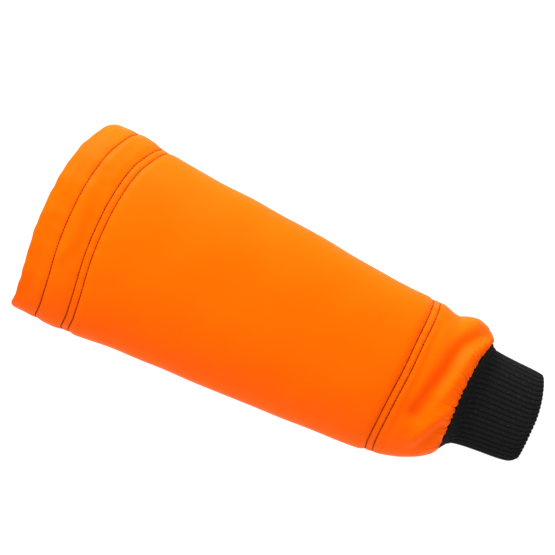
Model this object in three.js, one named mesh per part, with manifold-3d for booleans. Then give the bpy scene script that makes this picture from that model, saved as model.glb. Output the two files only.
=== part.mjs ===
// Chainsaw protective oversleeve: a padded polyester sleeve, open at both ends, with a rib-knit
// wrist cuff and a drawcord with a sprung cord lock at the back of the hem. It lies on its back.
// Millimetres. +X runs from the hem to the cuff, +Y across the sleeve, +Z up from the floor.

import * as THREE from 'three';
import { mergeVertices } from 'three/addons/utils/BufferGeometryUtils.js';
import Module from 'manifold-3d';

const wasm = await Module();
wasm.setup();

// Stations along the sleeve, at the middle of its top
const HEM_X = -253;
const CASING_ROW_X = -227;
const HEM_ROWS_X = [-200.5, -193.3];
const WRIST_ROWS_X = [111, 118];
const SEAM_X = 172;
const CUFF_END_X = 251;
const GAP = 0.3;

// Outline seen from above: y of the far and the near edge at each x
const OUTLINE = [
  { x: -236, far: 98.5, near: 99.3 },
  { x: -227, far: 100.3, near: 99.8 },
  { x: -208, far: 100.3, near: 100.3 },
  { x: -171, far: 95.8, near: 97.9 },
  { x: -133, far: 91.6, near: 94.9 },
  { x: -67, far: 87.4, near: 92.7 },
  { x: -20, far: 84.0, near: 91.2 },
  { x: 27, far: 78.9, near: 89.1 },
  { x: 75, far: 75.2, near: 86.9 },
  { x: 103, far: 74.0, near: 85.5 },
  { x: 122, far: 73.6, near: 82.8 },
  { x: 142, far: 69.3, near: 77.7 },
  { x: 151, far: 72.5, near: 74.4 },
  { x: 161, far: 74.6, near: 69.7 },
  { x: 171, far: 72.8, near: 62.7 },
  { x: 177, far: 68.5, near: 55.6 },
  { x: 181, far: 64.2, near: 50.4 },
  { x: 185, far: 57.2, near: 46.2 },
  { x: 191, far: 53.8, near: 44.1 },
  { x: 211, far: 52.4, near: 41.7 },
  { x: 230, far: 51.9, near: 40.4 },
  { x: 240, far: 51.2, near: 39.2 },
  { x: 245, far: 49.0, near: 37.9 },
  { x: 249, far: 45.5, near: 35.6 },
  { x: 251, far: 43.0, near: 33.5 },
];

// Height of the top above the floor
const TOP = [
  { x: -253, z: 69 },
  { x: -240, z: 71.5 },
  { x: -215, z: 74 },
  { x: -165, z: 77 },
  { x: -100, z: 78 },
  { x: -20, z: 76.5 },
  { x: 60, z: 72.5 },
  { x: 100, z: 69 },
  { x: 118, z: 65.2 },
  { x: 135, z: 63.5 },
  { x: 150, z: 61.5 },
  { x: 160, z: 59.5 },
  { x: 166, z: 57 },
  { x: 170, z: 53.5 },
  { x: 172, z: 49 },
  { x: 176, z: 43 },
  { x: 181, z: 39.5 },
  { x: 190, z: 37 },
  { x: 215, z: 35 },
  { x: 240, z: 32.5 },
  { x: 247, z: 31 },
  { x: 251, z: 28.5 },
];

// Wall thickness of the cloth: the padding lies between the two pairs of stitch rows
const WALL = [
  { x: -253, t: 2.8 },
  { x: -204, t: 2.8 },
  { x: -193, t: 3.2 },
  { x: -180, t: 5 },
  { x: 100, t: 5 },
  { x: 111, t: 3 },
  { x: 122, t: 2 },
  { x: 172, t: 2 },
];

// How far the rows lag towards the cuff at each width w, from -1 at the near edge to 1 at the far
// edge: the hem and its rows, and the double row before the wrist
const ROW_LAG = [
  { x: -1, hem: 5.6, wrist: 1.2 },
  { x: -0.975, hem: 3.6, wrist: 0.5 },
  { x: -0.93, hem: 4.6, wrist: -0.6 },
  { x: -0.83, hem: 5.9, wrist: -2 },
  { x: -0.7, hem: 5.5, wrist: -2.5 },
  { x: -0.55, hem: 4.3, wrist: -2.5 },
  { x: -0.4, hem: 2.5, wrist: -2.3 },
  { x: -0.2, hem: 0.7, wrist: -1.7 },
  { x: 0, hem: 0, wrist: -0.8 },
  { x: 0.2, hem: 0.3, wrist: -0.2 },
  { x: 0.4, hem: 1.8, wrist: 0.1 },
  { x: 0.55, hem: 3.8, wrist: 0.7 },
  { x: 0.7, hem: 7, wrist: 1.6 },
  { x: 0.85, hem: 12.8, wrist: 2.2 },
  { x: 0.95, hem: 17, wrist: 2.3 },
  { x: 1, hem: 20, wrist: 2.3 },
];

// How much of each lag counts at each station
const LAG_SHARE = [
  { x: -193, hem: 1, wrist: 0 },
  { x: 20, hem: 0.12, wrist: 0 },
  { x: 60, hem: 0, wrist: 0.3 },
  { x: 108, hem: 0, wrist: 1 },
  { x: 120, hem: 0, wrist: 1 },
  { x: 160, hem: 0, wrist: 0 },
];

// How far the wrist seam and the cuff lag at the far and at the near edge
const CUFF_LAG = [
  { x: 118, far: 0, near: 0 },
  { x: 172, far: 11, near: 4.3 },
  { x: 181, far: 6.5, near: 3 },
  { x: 196, far: 1.5, near: 0.8 },
  { x: 215, far: 0, near: 0.8 },
  { x: 251, far: -8, near: 1.2 },
];

// Underside: lifted at the hem by the cord lock folded beneath it
const LOWER_LIP_SETBACK = 5;
const LOWER_LIP_FADE = 14;
const LIFT = [
  { x: -253, z: 17.5 },
  { x: -214, z: 17.5 },
  { x: -205, z: 14.6 },
  { x: -190, z: 10.2 },
  { x: -180, z: 7.6 },
  { x: -170, z: 5 },
  { x: -160, z: 2 },
  { x: -148, z: 0 },
];
const LIFT_FLAT_Y = 45;
const LIFT_END_Y = 80;

// Section shape: widest at a share of the height, rounder above than below
const WIDEST_SHARE = 0.43;
const UPPER_POWER_Y = 0.86;
const UPPER_POWER_Z = 0.94;
const LOWER_POWER = 0.62;
const SOLE_FLATTENING = 1.2;
const PROFILE_SAMPLES = 360;

// Folds of the thin wrist part, on its top: paths in plan, negative depth for a valley
const FOLDS = {
  mainValley: {
    depth: -7.5,
    width: 6.5,
    path: [[170, 70], [163, 63], [153, 53], [148, 36], [146, 19], [142, 1], [138, -17], [137, -33]],
  },
  upperRidge: { depth: 3.2, width: 6, path: [[164, 46], [161, 20], [154, -9]] },
  lowerRidge: { depth: 3.4, width: 5.5, path: [[169, -12], [158, -34], [147, -58]] },
  lowerHollow: { depth: -3, width: 6, path: [[166, -30], [159, -44], [152, -62]] },
  stepAfterRows: { depth: -1.6, width: 5, path: [[125, 60], [126, 0], [124, -70]] },
};
const FOLD_TOP_START = 0.28;
const FOLD_TOP_FULL = 0.62;
const SIDE_START = 0.26;
const SIDE_FULL = 0.42;

// Stitch rows press the cloth in, gathers ripple the hem and pucker the wrist seam
const ROW_DIP = 1.3;
const ROW_DIP_WIDTH = 3.2;
const HEM_GATHERS = 18;
const HEM_GATHER_DEPTH = 1;
const HEM_GATHER_REACH = 9;
const PUCKER_DEPTH = 1.1;
const PUCKER_REACH = 7;

const SHELL_POINTS = 72;
const SHELL_OUTER_X = [
  -252, -247, -240, -233, -227, -221, -209, -200.5, -197, -193.3, -184, -165, -125, -75, -25,
  20, 60, 92, 104, 111, 114.5, 118, 126, 134, 142, 150, 158, 165, 172,
];
const SHELL_INNER_X = [
  172, 165, 158, 150, 142, 134, 126, 118, 111, 60, -40, -165, -193.3, -227, -252,
];

// Knit cuff: one rib is a raised and a sunken line of points
const CUFF_RIBS = 46;
const CUFF_WALL = 3.2;
const RIB_DEPTH = 0.55;
const RIB_START_X = 184;
const CUFF_OUTER_X = [172.6, 176.5, 183, 192, 235, 246, 250.4];
const CUFF_INNER_X = [250.4, 191, 183, 172.6];
const CUFF_LIP_DROP = 0.8;

// Drawcord, eyelets, tab and cord lock under the hem
const CORD_DIAMETER = 2.8;
const CORD_SIDES = 8;
const CORD_STEP = 6.5;
const UNDERSIDE_Z = 17.5;
const EYELET = { x: -241, y: 34, length: 16, width: 6, slotLength: 11.6, slotWidth: 3.8, thickness: 1 };
const LOCK = {
  x: -221.1, z: 7.5, radius: 7.5, wall: 1.9, closedEnd: -11.3, openEnd: 7.2, floor: 1.8,
  slotStart: -7.25, slotEnd: 2.25, slotHeight: 3.6, edge: 0.9,
};
const BUTTON = { travel: 3, reach: 11.3, innerEnd: -6.2, edge: 0.9 };
const BAR = { x: -229.8, z: 14, radius: 1.5, clear: 5.4, lug: 1.8 };
const TAB = { width: 10, layer: 1.1, foldX: -247.7, sewnX: -239.5 };
const KNOT = { x: -189, y: -3, z: 4.2, radius: 4 };
const ROUND_SEGMENTS = 28;

const DRAWCORD_LEFT = [
  [-241, 34, 17.2], [-241, 33.7, 14.2], [-241, 32.3, 11], [-241, 29.9, 8], [-241, 26.7, 5.2],
  [-241, 22.8, 2.9], [-240.8, 18.2, 1.7], [-240.2, 13.4, 1.7], [-238.4, 8.7, 2.8],
  [-235.8, 4.2, 4.7], [-232.6, 1.4, 6.4], [-229, 0.55, 7.4], [-224, 0.55, 7.5],
  [-218.6, 0.55, 7.5], [-213.6, 0.7, 7.3], [-208.8, 2.4, 5.8], [-204.2, 5.6, 3.6],
  [-200.2, 9.3, 2], [-196, 12.2, 1.5], [-191, 13.2, 1.5], [-186.4, 11.4, 1.5],
  [-184.2, 7.4, 2], [-185, 3.6, 3], [-186.5, 0.6, 3.9],
];
const DRAWCORD_RIGHT = [
  [-241, -34, 17.2], [-241, -33.7, 14.2], [-241, -32.3, 11], [-241, -29.9, 8],
  [-241, -26.7, 5.2], [-241, -22.8, 2.9], [-240.8, -18.4, 1.7], [-240.2, -13.9, 1.7],
  [-238.5, -9.8, 2.8], [-235.8, -6.4, 4.7], [-232.4, -4, 6.4], [-228.6, -2.75, 7.4],
  [-224, -2.55, 7.5], [-218.6, -2.55, 7.5], [-213.6, -2.6, 7.3], [-208.8, -2.7, 6.1],
  [-204.4, -2.9, 4.8], [-200, -3, 4.2], [-196, -3, 4.1], [-193.4, -3, 4.2],
];
const TAIL_LEFT = [
  [-184.6, -3.6, 3.6], [-181, -4.6, 2.2], [-176.5, -6.4, 1.5], [-171.8, -8.6, 1.5],
  [-167.6, -11, 1.5],
];
const TAIL_RIGHT = [
  [-187.3, -7, 3.3], [-185.4, -10, 2], [-181.6, -13.4, 1.5], [-177, -16, 1.5],
  [-172.4, -17.6, 1.5],
];

const COLOURS = {
  polyester: { color: 0xf56a0c, roughness: 0.55, metalness: 0 },
  knit: { color: 0x161616, roughness: 0.9, metalness: 0 },
  webbing: { color: 0x1b1b1c, roughness: 0.75, metalness: 0 },
  cord: { color: 0x202021, roughness: 0.7, metalness: 0 },
  plastic: { color: 0x131314, roughness: 0.4, metalness: 0 },
};

// Value of one column of a table at x, with a smooth run between its rows
function lookUp(table, column, x) {
  const first = table[0];
  const last = table[table.length - 1];
  if (x <= first.x) return first[column];
  if (x >= last.x) return last[column];
  const i = table.findIndex((row) => row.x > x);
  const a = table[i - 1];
  const b = table[i];
  const before = table[i - 2] ?? a;
  const after = table[i + 1] ?? b;
  const h = b.x - a.x;
  const u = (x - a.x) / h;
  const slopeA = limitedSlope(before, a, b, column);
  const slopeB = limitedSlope(a, b, after, column);
  const u2 = u * u;
  const u3 = u2 * u;
  return (2 * u3 - 3 * u2 + 1) * a[column] + (u3 - 2 * u2 + u) * h * slopeA
    + (3 * u2 - 2 * u3) * b[column] + (u3 - u2) * h * slopeB;
}

// Slope at the middle row of three that never overshoots its neighbours
function limitedSlope(before, row, after, column) {
  if (before === row || after === row) return 0;
  const left = (row[column] - before[column]) / (row.x - before.x);
  const right = (after[column] - row[column]) / (after.x - row.x);
  return left * right <= 0 ? 0 : (2 * left * right) / (left + right);
}

function smoothStep(low, high, value) {
  const u = Math.min(1, Math.max(0, (value - low) / (high - low)));
  return u * u * (3 - 2 * u);
}

function signedPower(value, power) {
  return Math.sign(value) * Math.abs(value) ** power;
}

// Lag of a row of the cloth at station x and width w
function rowLag(x, w) {
  const hem = lookUp(LAG_SHARE, 'hem', x) * lookUp(ROW_LAG, 'hem', w);
  const wrist = lookUp(LAG_SHARE, 'wrist', x) * lookUp(ROW_LAG, 'wrist', w);
  const cuff = lookUp(CUFF_LAG, w > 0 ? 'far' : 'near', x) * w * w;
  return hem + wrist + cuff;
}

function liftAt(x, y) {
  return lookUp(LIFT, 'z', x) * (1 - smoothStep(LIFT_FLAT_Y, LIFT_END_Y, Math.abs(y)));
}

// One point of the bare section at station x; angle 0 is the far edge, a quarter turn the top
function profilePoint(x, angle) {
  const c = Math.cos(angle);
  const s = Math.sin(angle);
  const upper = s >= 0;
  const w = signedPower(c, upper ? UPPER_POWER_Y : LOWER_POWER);
  const top = lookUp(TOP, 'z', x);
  const widest = WIDEST_SHARE * top;
  const place = x + rowLag(x, w);
  const far = lookUp(OUTLINE, 'far', place);
  const near = lookUp(OUTLINE, 'near', place);
  const y = (far - near) / 2 + ((far + near) / 2) * w;
  if (upper) {
    return new THREE.Vector3(place, y, widest + (top - widest) * s ** UPPER_POWER_Z);
  }
  const sole = Math.max(0, widest * (1 - (-s) ** LOWER_POWER) - SOLE_FLATTENING * s * s);
  const lifted = sole + liftAt(x, y) * (1 - sole / widest);
  const setback = LOWER_LIP_SETBACK * (1 - sole / widest) * (1 - smoothStep(0, LOWER_LIP_FADE, x - HEM_X));
  return new THREE.Vector3(place + setback, y, lifted);
}

// Evenly spaced points round the section, from the back seam under the sleeve, far side first
function evenSection(x, count) {
  const dense = [];
  for (let i = 0; i <= PROFILE_SAMPLES; i += 1) {
    dense.push(profilePoint(x, -Math.PI / 2 + (2 * Math.PI * i) / PROFILE_SAMPLES));
  }
  const along = [0];
  for (let i = 1; i < dense.length; i += 1) {
    const dy = dense[i].y - dense[i - 1].y;
    const dz = dense[i].z - dense[i - 1].z;
    along.push(along[i - 1] + Math.hypot(dy, dz));
  }
  const total = along[along.length - 1];
  const points = [];
  let k = 1;
  for (let i = 0; i < count; i += 1) {
    const target = (total * i) / count;
    while (along[k] < target) k += 1;
    const u = (target - along[k - 1]) / (along[k] - along[k - 1]);
    points.push(dense[k - 1].clone().lerp(dense[k], u));
  }
  return points;
}

// Outward direction of each point of a ring, in the plane across the sleeve
function outwardDirections(ring) {
  const n = ring.length;
  return ring.map((point, i) => {
    const before = ring[(i + n - 1) % n];
    const after = ring[(i + 1) % n];
    return new THREE.Vector3(0, after.z - before.z, before.y - after.y).normalize();
  });
}

function distanceToPath(path, x, y) {
  let best = Infinity;
  for (let i = 1; i < path.length; i += 1) {
    const [ax, ay] = path[i - 1];
    const [bx, by] = path[i];
    const length2 = (bx - ax) ** 2 + (by - ay) ** 2;
    const u = Math.min(1, Math.max(0, ((x - ax) * (bx - ax) + (y - ay) * (by - ay)) / length2));
    best = Math.min(best, Math.hypot(x - ax - u * (bx - ax), y - ay - u * (by - ay)));
  }
  return best;
}

function foldShift(point, x) {
  const high = smoothStep(FOLD_TOP_START, FOLD_TOP_FULL, point.z / lookUp(TOP, 'z', x));
  if (x <= WRIST_ROWS_X[1] || high === 0) return 0;
  const calm = smoothStep(0, 9, x - WRIST_ROWS_X[1]) * smoothStep(0, 9, SEAM_X + 3 - x);
  let shift = 0;
  for (const fold of Object.values(FOLDS)) {
    const d = distanceToPath(fold.path, point.x, point.y) / fold.width;
    shift += fold.depth * Math.exp(-d * d);
  }
  return shift * high * calm;
}

function rowShift(x) {
  let shift = 0;
  for (const row of [CASING_ROW_X, ...HEM_ROWS_X, ...WRIST_ROWS_X]) {
    shift -= ROW_DIP * Math.exp(-(((x - row) / ROW_DIP_WIDTH) ** 2));
  }
  return shift;
}

function gatherShift(x, share, high) {
  const hem = HEM_GATHER_DEPTH * Math.exp(-(x - HEM_X) / HEM_GATHER_REACH);
  const seam = PUCKER_DEPTH * Math.exp(-(SEAM_X - x) / PUCKER_REACH);
  const wave = hem * Math.cos(2 * Math.PI * HEM_GATHERS * share);
  const pucker = seam * Math.cos(Math.PI * SHELL_POINTS * share);
  return (wave + pucker) * high;
}

// Ring of the sleeve at station x, moved in by an inset
function shellRing(x, inset) {
  const ring = evenSection(x, SHELL_POINTS);
  const out = outwardDirections(ring);
  return ring.map((point, i) => {
    const high = smoothStep(SIDE_START, SIDE_FULL, point.z / lookUp(TOP, 'z', x));
    const relief = foldShift(point, x) + rowShift(x) * high + gatherShift(x, i / SHELL_POINTS, high);
    return point.clone().addScaledVector(out[i], relief - inset);
  });
}

function cuffRing(x, inset, ribbed) {
  const ring = evenSection(x, CUFF_RIBS * 2);
  const out = outwardDirections(ring);
  return ring.map((point, i) => {
    const rib = ribbed && x > RIB_START_X ? RIB_DEPTH * (i % 2 === 0 ? 1 : -1) : 0;
    const clear = point.z < 1 ? Math.max(0, rib) : 0;
    return point.clone().addScaledVector(out[i], rib - inset - clear);
  });
}

// Closed skin through rings that lead from one to the next and back to the first
function loopSkin(rings) {
  const count = rings[0].length;
  const positions = rings.flat().flatMap((point) => [point.x, point.y, point.z]);
  const index = [];
  rings.forEach((ring, r) => {
    const a = r * count;
    const b = ((r + 1) % rings.length) * count;
    for (let i = 0; i < count; i += 1) {
      const j = (i + 1) % count;
      index.push(a + i, b + j, b + i);
      index.push(a + i, a + j, b + j);
    }
  });
  const geometry = new THREE.BufferGeometry();
  geometry.setAttribute('position', new THREE.Float32BufferAttribute(positions, 3));
  geometry.setIndex(index);
  geometry.computeVertexNormals();
  return geometry;
}

function sleeveShell() {
  const outer = SHELL_OUTER_X.map((x) => shellRing(x, 0));
  const inner = SHELL_INNER_X.map((x) => shellRing(x, lookUp(WALL, 't', x)));
  const rim = shellRing(HEM_X, lookUp(WALL, 't', HEM_X) / 2);
  return loopSkin([...outer, ...inner, rim]);
}

function knitCuff() {
  const outer = CUFF_OUTER_X.map((x, i) => cuffRing(x, i === 0 ? CUFF_LIP_DROP : 0, true));
  const inner = CUFF_INNER_X.map((x) => cuffRing(x, CUFF_WALL, false));
  const rim = cuffRing(CUFF_END_X, CUFF_WALL / 2, false);
  return loopSkin([...outer, rim, ...inner]);
}

function toSolid(geometry) {
  const bare = geometry.clone();
  bare.deleteAttribute('normal');
  bare.deleteAttribute('uv');
  const merged = mergeVertices(bare, 1e-4);
  return new wasm.Manifold(new wasm.Mesh({
    numProp: 3,
    vertProperties: new Float32Array(merged.attributes.position.array),
    triVerts: new Uint32Array(merged.index.array),
  }));
}

function toGeometry(solid) {
  const mesh = solid.getMesh();
  const geometry = new THREE.BufferGeometry();
  geometry.setAttribute('position', new THREE.Float32BufferAttribute(mesh.vertProperties, 3));
  geometry.setIndex(Array.from(mesh.triVerts));
  return geometry;
}

// Cylinder along Y between two y values, with bevelled ends
function crossCylinder(radius, yStart, yEnd, x, z, edge = 0) {
  const length = yEnd - yStart;
  const bevelled = [[radius - edge, 0], [radius, edge], [radius, length - edge], [radius - edge, length]];
  const square = [[radius, 0], [radius, length]];
  const profile = [[0, 0], ...(edge > 0 ? bevelled : square), [0, length]];
  const outline = profile.map((point) => new THREE.Vector2(...point));
  return new THREE.LatheGeometry(outline, ROUND_SEGMENTS).translate(x, yStart, z);
}

function box(x0, x1, y0, y1, z0, z1) {
  return new THREE.BoxGeometry(x1 - x0, y1 - y0, z1 - z0)
    .translate((x0 + x1) / 2, (y0 + y1) / 2, (z0 + z1) / 2);
}

// Closed strip of even thickness along a path in the XZ plane, extruded across Y
function strip(path, thickness, width) {
  const left = [];
  const right = [];
  path.forEach(([x, z], i) => {
    const [ax, az] = path[Math.max(0, i - 1)];
    const [bx, bz] = path[Math.min(path.length - 1, i + 1)];
    const length = Math.hypot(bx - ax, bz - az);
    const nx = (-(bz - az) / length) * (thickness / 2);
    const nz = ((bx - ax) / length) * (thickness / 2);
    left.push(new THREE.Vector2(x + nx, z + nz));
    right.unshift(new THREE.Vector2(x - nx, z - nz));
  });
  const shape = new THREE.Shape([...left, ...right]);
  return new THREE.ExtrudeGeometry(shape, { depth: width, bevelEnabled: false })
    .rotateX(Math.PI / 2)
    .translate(0, width / 2, 0);
}

function lockSlot(start, end) {
  const reach = LOCK.radius + 1;
  const half = LOCK.slotHeight / 2;
  return toSolid(box(LOCK.x - reach, LOCK.x + reach, start, end, LOCK.z - half, LOCK.z + half));
}

function cordLockBarrel() {
  const boreRadius = LOCK.radius - LOCK.wall;
  const { radius, closedEnd, openEnd, floor, edge } = LOCK;
  const outer = toSolid(crossCylinder(radius, closedEnd, openEnd, LOCK.x, LOCK.z, edge));
  const bore = toSolid(crossCylinder(boreRadius, closedEnd + floor, openEnd + 1, LOCK.x, LOCK.z));
  const barEnd = BAR.clear + BAR.lug;
  const bar = toSolid(crossCylinder(BAR.radius, -barEnd, barEnd, BAR.x, BAR.z));
  const lugPath = [[BAR.x, BAR.z], [LOCK.x, LOCK.z]];
  const lugs = [-1, 1].map((side) => toSolid(
    strip(lugPath, BAR.radius * 2, BAR.lug).translate(0, side * (BAR.clear + BAR.lug / 2), 0),
  ));
  return toGeometry(outer.add(bar).add(lugs[0]).add(lugs[1])
    .subtract(bore).subtract(lockSlot(LOCK.slotStart, LOCK.slotEnd)));
}

function cordLockButton() {
  const radius = LOCK.radius - LOCK.wall - GAP;
  const body = toSolid(crossCylinder(radius, BUTTON.innerEnd, BUTTON.reach, LOCK.x, LOCK.z, BUTTON.edge));
  return toGeometry(body.subtract(lockSlot(LOCK.slotStart + BUTTON.travel, LOCK.slotEnd + BUTTON.travel)));
}

function cordTab() {
  const thickness = 2 * TAB.layer;
  const wall = lookUp(WALL, 't', HEM_X);
  const bend = wall / 2 + GAP + TAB.layer;
  const middle = UNDERSIDE_Z + wall / 2;
  const path = [[TAB.sewnX, middle + bend]];
  for (let i = 0; i <= 8; i += 1) {
    const angle = Math.PI / 2 + (Math.PI * i) / 8;
    path.push([TAB.foldX + bend * Math.cos(angle), middle + bend * Math.sin(angle)]);
  }
  path.push([BAR.x - 6, middle - bend - 0.6], [BAR.x - 2, BAR.z + 0.5]);
  const loop = BAR.radius + GAP;
  const half = TAB.width / 2;
  const band = toSolid(strip(path, thickness, TAB.width));
  const round = toSolid(crossCylinder(loop + TAB.layer, -half, half, BAR.x, BAR.z));
  const hole = toSolid(crossCylinder(loop, -half - 1, half + 1, BAR.x, BAR.z));
  return toGeometry(band.add(round).subtract(hole));
}

function roundedSlot(length, width, Kind) {
  const straight = (length - width) / 2;
  const outline = new Kind();
  outline.absarc(0, straight, width / 2, 0, Math.PI, false);
  outline.absarc(0, -straight, width / 2, Math.PI, 2 * Math.PI, false);
  outline.closePath();
  return outline;
}

function eyelet(side) {
  const ring = roundedSlot(EYELET.length, EYELET.width, THREE.Shape);
  ring.holes.push(roundedSlot(EYELET.slotLength, EYELET.slotWidth, THREE.Path));
  const settings = { depth: EYELET.thickness, bevelEnabled: false, curveSegments: 8 };
  return new THREE.ExtrudeGeometry(ring, settings)
    .translate(EYELET.x, side * EYELET.y, UNDERSIDE_Z - GAP - EYELET.thickness);
}

function cordTube(route) {
  const points = route.map((point) => new THREE.Vector3(...point));
  const curve = new THREE.CatmullRomCurve3(points, false, 'centripetal');
  const section = new THREE.Shape();
  for (let i = 0; i < CORD_SIDES; i += 1) {
    const angle = (2 * Math.PI * (i + 0.5)) / CORD_SIDES;
    const x = (CORD_DIAMETER / 2) * Math.cos(angle);
    const y = (CORD_DIAMETER / 2) * Math.sin(angle);
    if (i === 0) section.moveTo(x, y);
    else section.lineTo(x, y);
  }
  section.closePath();
  const steps = Math.ceil(curve.getLength() / CORD_STEP);
  return new THREE.ExtrudeGeometry(section, { steps, bevelEnabled: false, extrudePath: curve });
}

function knotBody() {
  return new THREE.SphereGeometry(KNOT.radius, 12, 8).translate(KNOT.x, KNOT.y, KNOT.z);
}

const PIECES = [
  { name: 'sleeve_shell', geometry: sleeveShell(), finish: COLOURS.polyester },
  { name: 'knit_cuff', geometry: knitCuff(), finish: COLOURS.knit },
  { name: 'eyelet_left', geometry: eyelet(1), finish: COLOURS.cord },
  { name: 'eyelet_right', geometry: eyelet(-1), finish: COLOURS.cord },
  { name: 'cord_tab', geometry: cordTab(), finish: COLOURS.webbing },
  { name: 'cord_lock_barrel', geometry: cordLockBarrel(), finish: COLOURS.plastic },
  { name: 'cord_lock_button', geometry: cordLockButton(), finish: COLOURS.plastic },
  { name: 'drawcord_left', geometry: cordTube(DRAWCORD_LEFT), finish: COLOURS.cord },
  { name: 'drawcord_right', geometry: cordTube(DRAWCORD_RIGHT), finish: COLOURS.cord },
  { name: 'cord_knot', geometry: knotBody(), finish: COLOURS.cord },
  { name: 'cord_tail_left', geometry: cordTube(TAIL_LEFT), finish: COLOURS.cord },
  { name: 'cord_tail_right', geometry: cordTube(TAIL_RIGHT), finish: COLOURS.cord },
];

const oversleeve = new THREE.Group();
for (const piece of PIECES) {
  const mesh = new THREE.Mesh(piece.geometry, new THREE.MeshStandardMaterial(piece.finish));
  mesh.name = piece.name;
  oversleeve.add(mesh);
}

export default oversleeve;
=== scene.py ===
import math

import bpy
import numpy as np
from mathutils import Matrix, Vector


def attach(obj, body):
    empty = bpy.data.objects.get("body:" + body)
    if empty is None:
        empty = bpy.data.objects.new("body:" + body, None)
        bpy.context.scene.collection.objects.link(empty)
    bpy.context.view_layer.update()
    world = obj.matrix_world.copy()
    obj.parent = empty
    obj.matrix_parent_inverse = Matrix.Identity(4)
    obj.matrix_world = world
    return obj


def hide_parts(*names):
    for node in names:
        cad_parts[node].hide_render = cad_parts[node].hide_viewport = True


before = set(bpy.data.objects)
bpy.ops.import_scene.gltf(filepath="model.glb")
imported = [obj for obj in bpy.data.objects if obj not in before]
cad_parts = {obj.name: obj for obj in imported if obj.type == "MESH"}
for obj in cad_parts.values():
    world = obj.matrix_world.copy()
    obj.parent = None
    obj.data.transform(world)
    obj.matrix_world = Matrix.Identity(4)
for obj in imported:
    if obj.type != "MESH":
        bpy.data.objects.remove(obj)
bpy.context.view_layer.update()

bl_info = {
    "name": "Chainsaw Oversleeve",
    "version": (1, 0, 0),
    "blender": (4, 5, 0),
    "location": "3D View > Sidebar > Oversleeve",
    "description": "Builds a padded work oversleeve with its cuff and drawcord on its packed frame",
    "category": "Add Mesh",
}

MM = 0.001
TAU = 2 * math.pi
BODY = "sleeve"
BUTTON_BODY = "lock_button"

# Stations along the sleeve, in millimetres, at the middle of its top
HEM_X = -253.0
CASING_ROW_X = -227.0
HEM_ROWS_X = (-200.5, -193.3)
WRIST_ROWS_X = (111.0, 118.0)
SEAM_X = 172.0
CUFF_START_X = 172.6
CUFF_END_X = 251.0


def table(columns, *rows):
    """A short table as one array for each named column."""
    return {name: np.array(values, float) for name, values in zip(columns.split(), zip(*rows))}


OUTLINE = table(
    "x far near",
    (-236, 98.5, 99.3), (-227, 100.3, 99.8), (-208, 100.3, 100.3), (-171, 95.8, 97.9),
    (-133, 91.6, 94.9), (-67, 87.4, 92.7), (-20, 84.0, 91.2), (27, 78.9, 89.1),
    (75, 75.2, 86.9), (103, 74.0, 85.5), (122, 73.6, 82.8), (142, 69.3, 77.7),
    (151, 72.5, 74.4), (161, 74.6, 69.7), (171, 72.8, 62.7), (177, 68.5, 55.6),
    (181, 64.2, 50.4), (185, 57.2, 46.2), (191, 53.8, 44.1), (211, 52.4, 41.7),
    (230, 51.9, 40.4), (240, 51.2, 39.2), (245, 49.0, 37.9), (249, 45.5, 35.6),
    (251, 43.0, 33.5),
)
TOP = table(
    "x z",
    (-253, 69), (-240, 71.5), (-215, 74), (-165, 77), (-100, 78), (-20, 76.5), (60, 72.5),
    (100, 69), (118, 65.2), (135, 63.5), (150, 61.5), (160, 59.5), (166, 57), (170, 53.5),
    (172, 49), (176, 43), (181, 39.5), (190, 37), (215, 35), (240, 32.5), (247, 31), (251, 28.5),
)
WALL = table(
    "x t",
    (-253, 2.8), (-204, 2.8), (-193, 3.2), (-180, 5), (100, 5), (111, 3), (122, 2), (172, 2),
)
# How far the rows lag towards the cuff at each width, from -1 at the near edge to 1 at the far one
ROW_LAG = table(
    "x hem wrist",
    (-1, 5.6, 1.2), (-0.975, 3.6, 0.5), (-0.93, 4.6, -0.6), (-0.83, 5.9, -2),
    (-0.7, 5.5, -2.5), (-0.55, 4.3, -2.5),
    (-0.4, 2.5, -2.3), (-0.2, 0.7, -1.7), (0, 0, -0.8), (0.2, 0.3, -0.2), (0.4, 1.8, 0.1),
    (0.55, 3.8, 0.7), (0.7, 7, 1.6), (0.85, 12.8, 2.2), (0.95, 17, 2.3), (1, 20, 2.3),
)
LAG_SHARE = table(
    "x hem wrist",
    (-193, 1, 0), (20, 0.12, 0), (60, 0, 0.3), (108, 0, 1), (120, 0, 1), (160, 0, 0),
)
CUFF_LAG = table(
    "x far near",
    (118, 0, 0), (172, 11, 4.3), (181, 6.5, 3), (196, 1.5, 0.8), (215, 0, 0.8), (251, -8, 1.2),
)
LIFT = table(
    "x z",
    (-253, 17.5), (-214, 17.5), (-205, 14.6), (-190, 10.2), (-180, 7.6), (-170, 5),
    (-160, 2), (-148, 0),
)
LIFT_FLAT_Y, LIFT_END_Y = 45.0, 80.0
CASING_PLY = 0.5
LOWER_LIP_SETBACK, LOWER_LIP_FADE = 5.0, 14.0
WIDEST_SHARE = 0.43
UPPER_POWER_Y, UPPER_POWER_Z, LOWER_POWER = 0.86, 0.94, 0.62
SOLE_FLATTENING = 1.2
# Rows of topstitching round the sleeve: how deep and how broad the cloth dips towards each
ROWS = table(
    "x dip breadth",
    (CASING_ROW_X, 0.9, 3.6), (HEM_ROWS_X[0], 1.5, 5.6), (HEM_ROWS_X[1], 1.2, 3.4),
    (WRIST_ROWS_X[0], 1.3, 3.4), (WRIST_ROWS_X[1], 0.8, 3.4),
)
BACK_ROW_OFFSET = 9.4
PROFILE_SAMPLES = 720

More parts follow.
